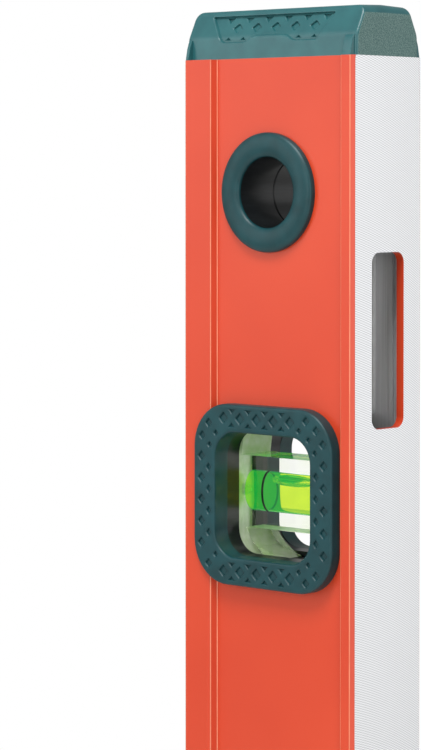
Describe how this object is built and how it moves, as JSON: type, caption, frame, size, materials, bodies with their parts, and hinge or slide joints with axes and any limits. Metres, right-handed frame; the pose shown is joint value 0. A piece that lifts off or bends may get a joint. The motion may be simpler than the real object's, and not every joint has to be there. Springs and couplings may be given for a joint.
{
  "type": "spirit level",
  "caption": "Box-section spirit level with plumb and centre vials, a mirror behind a reading slot, hanging holes and end caps.",
  "frame": {"origin": "centre of the level's footprint, on the surface that its lower end cap stands on", "axes": "+Z along the level from the lower end to the upper end; +Y from the front wide face to the rear one; +X from the lower measuring face to the face with the reading slots"},
  "size_m": [0.06, 0.0324, 0.6],
  "materials": {
    "orange_paint": "orange powder coat, milled bare on both narrow faces",
    "teal_plastic": "moulded, lightly grained",
    "teal_rubber": "satin, moulded lattice",
    "black_plastic": "gloss",
    "grey_plastic": "satin",
    "white_plastic": "gloss",
    "black_ink": "matt",
    "clear_acrylic": "polished clear",
    "vial_liquid": "clear yellow-green",
    "air_bubble": "clear",
    "mirror_glass": "mirror"
  },
  "bodies": {
    "level": {"profile": "orange_paint", "upper_end_cap": "teal_plastic", "lower_end_cap": "teal_plastic", "mirror": "mirror_glass", "mirror_holder": "grey_plastic", "upper_hole_front_ring": "teal_rubber", "upper_hole_front_sleeve": "black_plastic", "upper_hole_rear_ring": "teal_rubber", "upper_hole_rear_sleeve": "black_plastic", "lower_hole_front_ring": "teal_rubber", "lower_hole_front_sleeve": "black_plastic", "lower_hole_rear_ring": "teal_rubber", "lower_hole_rear_sleeve": "black_plastic", "upper_vial_front_bezel": "teal_rubber", "upper_vial_front_housing": "black_plastic", "upper_vial_rear_bezel": "teal_rubber", "upper_vial_rear_housing": "black_plastic", "upper_vial_block": "clear_acrylic", "upper_vial_filler_plug": "white_plastic", "upper_vial_reading_lines": "black_ink", "upper_vial_liquid": "vial_liquid", "centre_vial_front_bezel": "teal_rubber", "centre_vial_front_housing": "black_plastic", "centre_vial_rear_bezel": "teal_rubber", "centre_vial_rear_housing": "black_plastic", "centre_vial_block": "clear_acrylic", "centre_vial_filler_plug": "white_plastic", "centre_vial_reading_lines": "black_ink", "centre_vial_liquid": "vial_liquid", "lower_vial_front_bezel": "teal_rubber", "lower_vial_front_housing": "black_plastic", "lower_vial_rear_bezel": "teal_rubber", "lower_vial_rear_housing": "black_plastic", "lower_vial_block": "clear_acrylic", "lower_vial_filler_plug": "white_plastic", "lower_vial_reading_lines": "black_ink", "lower_vial_liquid": "vial_liquid"},
    "upper_bubble": {"upper_vial_bubble": "air_bubble"},
    "centre_bubble": {"centre_vial_bubble": "air_bubble"},
    "lower_bubble": {"lower_vial_bubble": "air_bubble"}
  },
  "joints": [
    {"name": "upper_bubble_slide", "type": "slide", "parent": "level", "child": "upper_bubble", "axis": [1, 0, 0], "range_m": [-0.0075, 0.0075], "stiffness_N_per_m": 0.5},
    {"name": "centre_bubble_slide", "type": "slide", "parent": "level", "child": "centre_bubble", "axis": [0, 0, 1], "range_m": [-0.015, 0], "stiffness_N_per_m": 1, "springref_m": 0.012},
    {"name": "lower_bubble_slide", "type": "slide", "parent": "level", "child": "lower_bubble", "axis": [1, 0, 0], "range_m": [-0.0075, 0.0075], "stiffness_N_per_m": 0.5}
  ]
}
